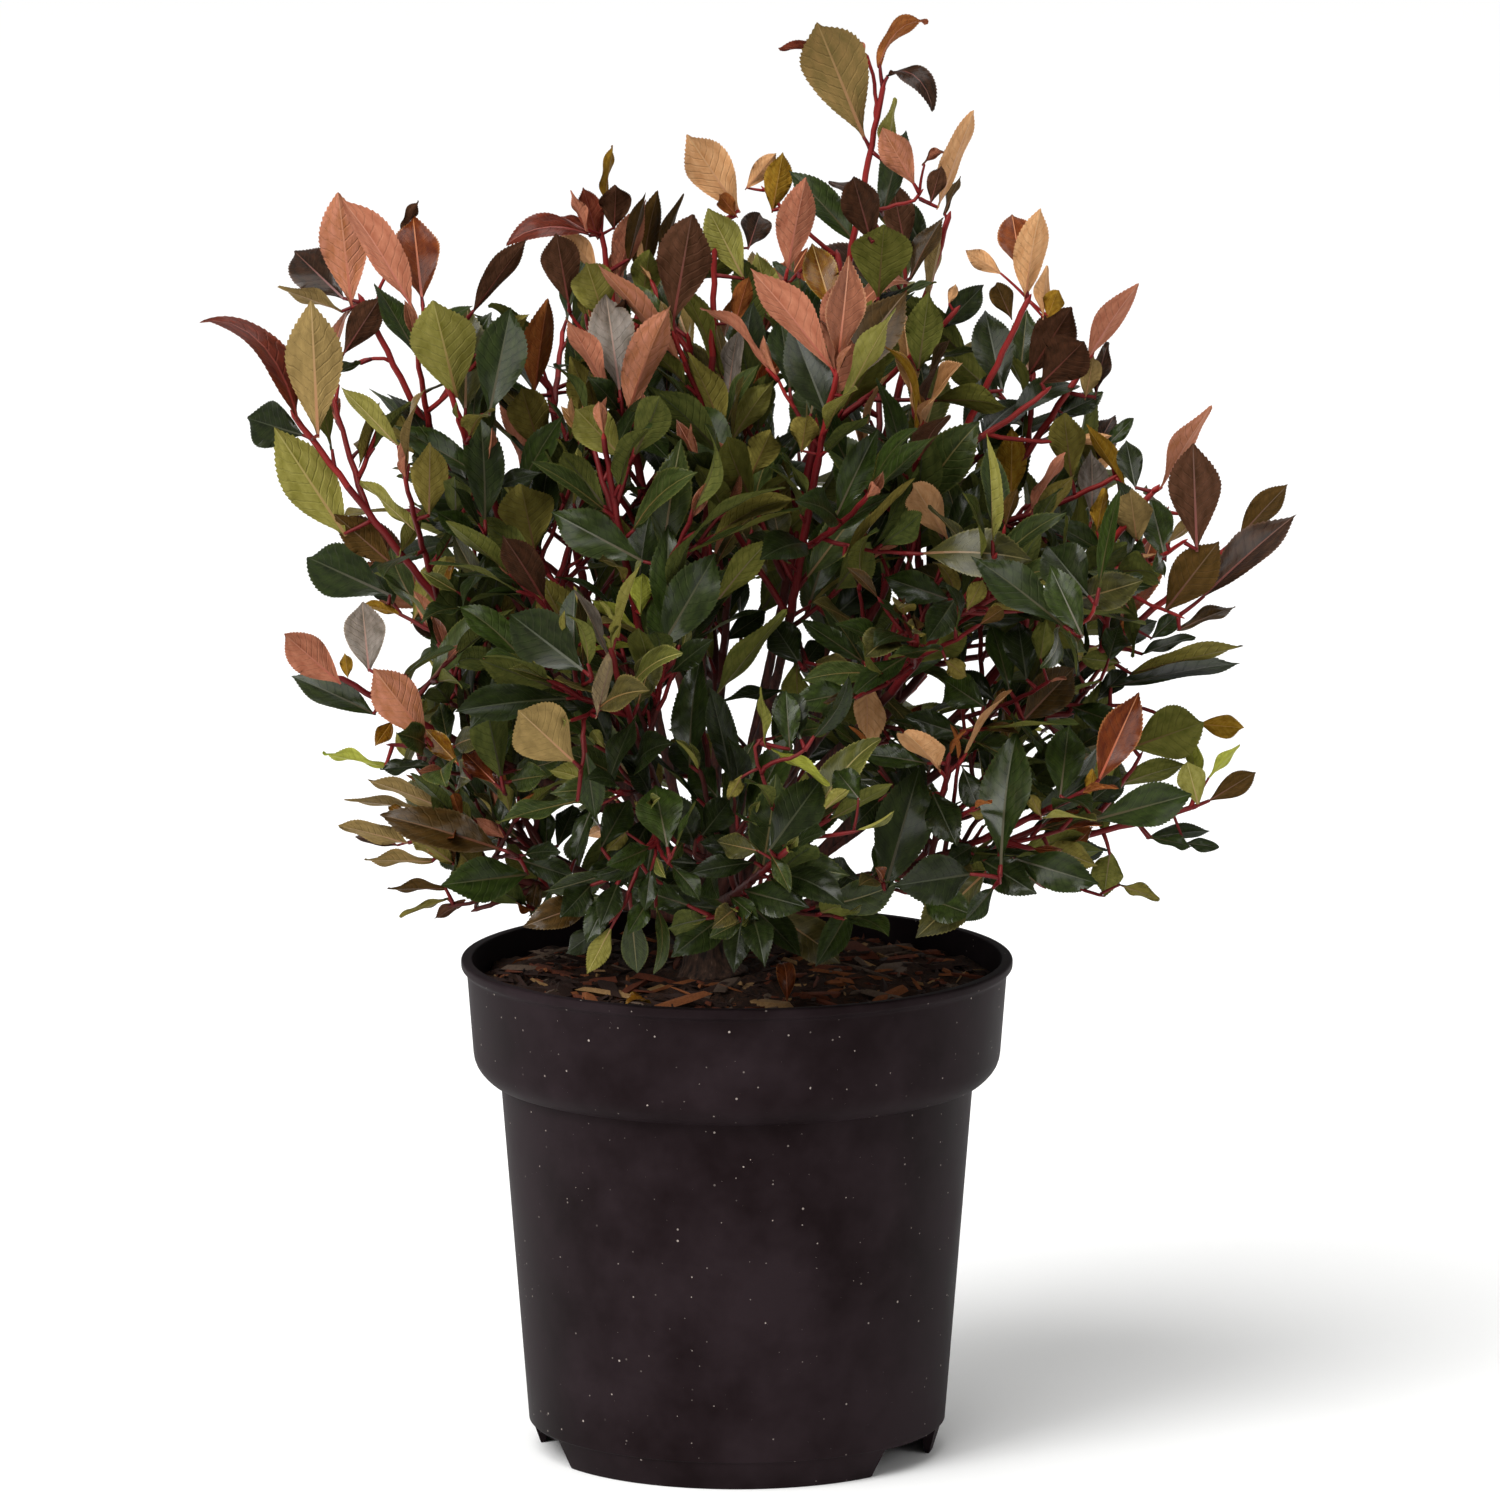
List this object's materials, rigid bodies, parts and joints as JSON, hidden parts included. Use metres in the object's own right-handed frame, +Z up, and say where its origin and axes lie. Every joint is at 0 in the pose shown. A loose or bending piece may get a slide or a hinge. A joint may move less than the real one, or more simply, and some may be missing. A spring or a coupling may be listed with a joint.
{
  "type": "potted chico photinia shrub",
  "caption": "Compact evergreen shrub with serrated glossy leaves on red shoots, young leaves bronze and salmon, in a round black nursery pot.",
  "frame": {"origin": "on the pot's axis, at the level that its foot ring stands on", "axes": "+Z up along the pot's axis; -Y towards the pictured side; +X to the right as the picture sees it"},
  "size_m": [0.3732, 0.3098, 0.499],
  "materials": {
    "pot_plastic": "satin, moulded, dusty",
    "potting_mix": "rough, moist",
    "bark": "smooth bark",
    "foliage_green": "glossy leaves",
    "foliage_bronze": "glossy young leaves"
  },
  "bodies": {
    "root": {"pot": "pot_plastic", "potting_mix": "potting_mix", "trunk": "bark", "bough_leader": "bark", "foliage_leader": "foliage_bronze", "bough_far_left": "bark", "foliage_far_left": "foliage_green", "bough_high_left": "bark", "foliage_high_left": "foliage_bronze", "bough_centre": "bark", "foliage_centre": "foliage_green", "bough_high_right": "bark", "foliage_high_right": "foliage_bronze", "bough_far_right": "bark", "foliage_far_right": "foliage_bronze", "bough_low_right": "bark", "foliage_low_right": "foliage_green", "bough_low_left": "bark", "foliage_low_left": "foliage_green", "bough_front_left": "bark", "foliage_front_left": "foliage_green", "bough_front_low": "bark", "foliage_front_low": "foliage_green", "bough_back_centre": "bark", "foliage_back_centre": "foliage_bronze", "bough_back_left": "bark", "foliage_back_left": "foliage_green", "bough_back_right": "bark", "foliage_back_right": "foliage_green", "bough_front_right": "bark", "foliage_front_right": "foliage_green", "bough_left_middle": "bark", "foliage_left_middle": "foliage_green", "bough_left_side": "bark", "foliage_left_side": "foliage_bronze", "bough_high_centre_left": "bark", "foliage_high_centre_left": "foliage_bronze", "bough_front_high_left": "bark", "foliage_front_high_left": "foliage_green", "bough_front_high": "bark", "foliage_front_high": "foliage_green", "bough_right_upper": "bark", "foliage_right_upper": "foliage_bronze", "bough_right_shoulder": "bark", "foliage_right_shoulder": "foliage_bronze", "bough_front_right_high": "bark", "foliage_front_right_high": "foliage_green", "bough_back_high_left": "bark", "foliage_back_high_left": "foliage_bronze", "bough_back_high_right": "bark", "foliage_back_high_right": "foliage_bronze", "bough_back_low_left": "bark", "foliage_back_low_left": "foliage_green", "bough_back_low_right": "bark", "foliage_back_low_right": "foliage_green", "bough_left_low_back": "bark", "foliage_left_low_back": "foliage_green", "bough_back_middle": "bark", "foliage_back_middle": "foliage_green"}
  },
  "joints": []
}
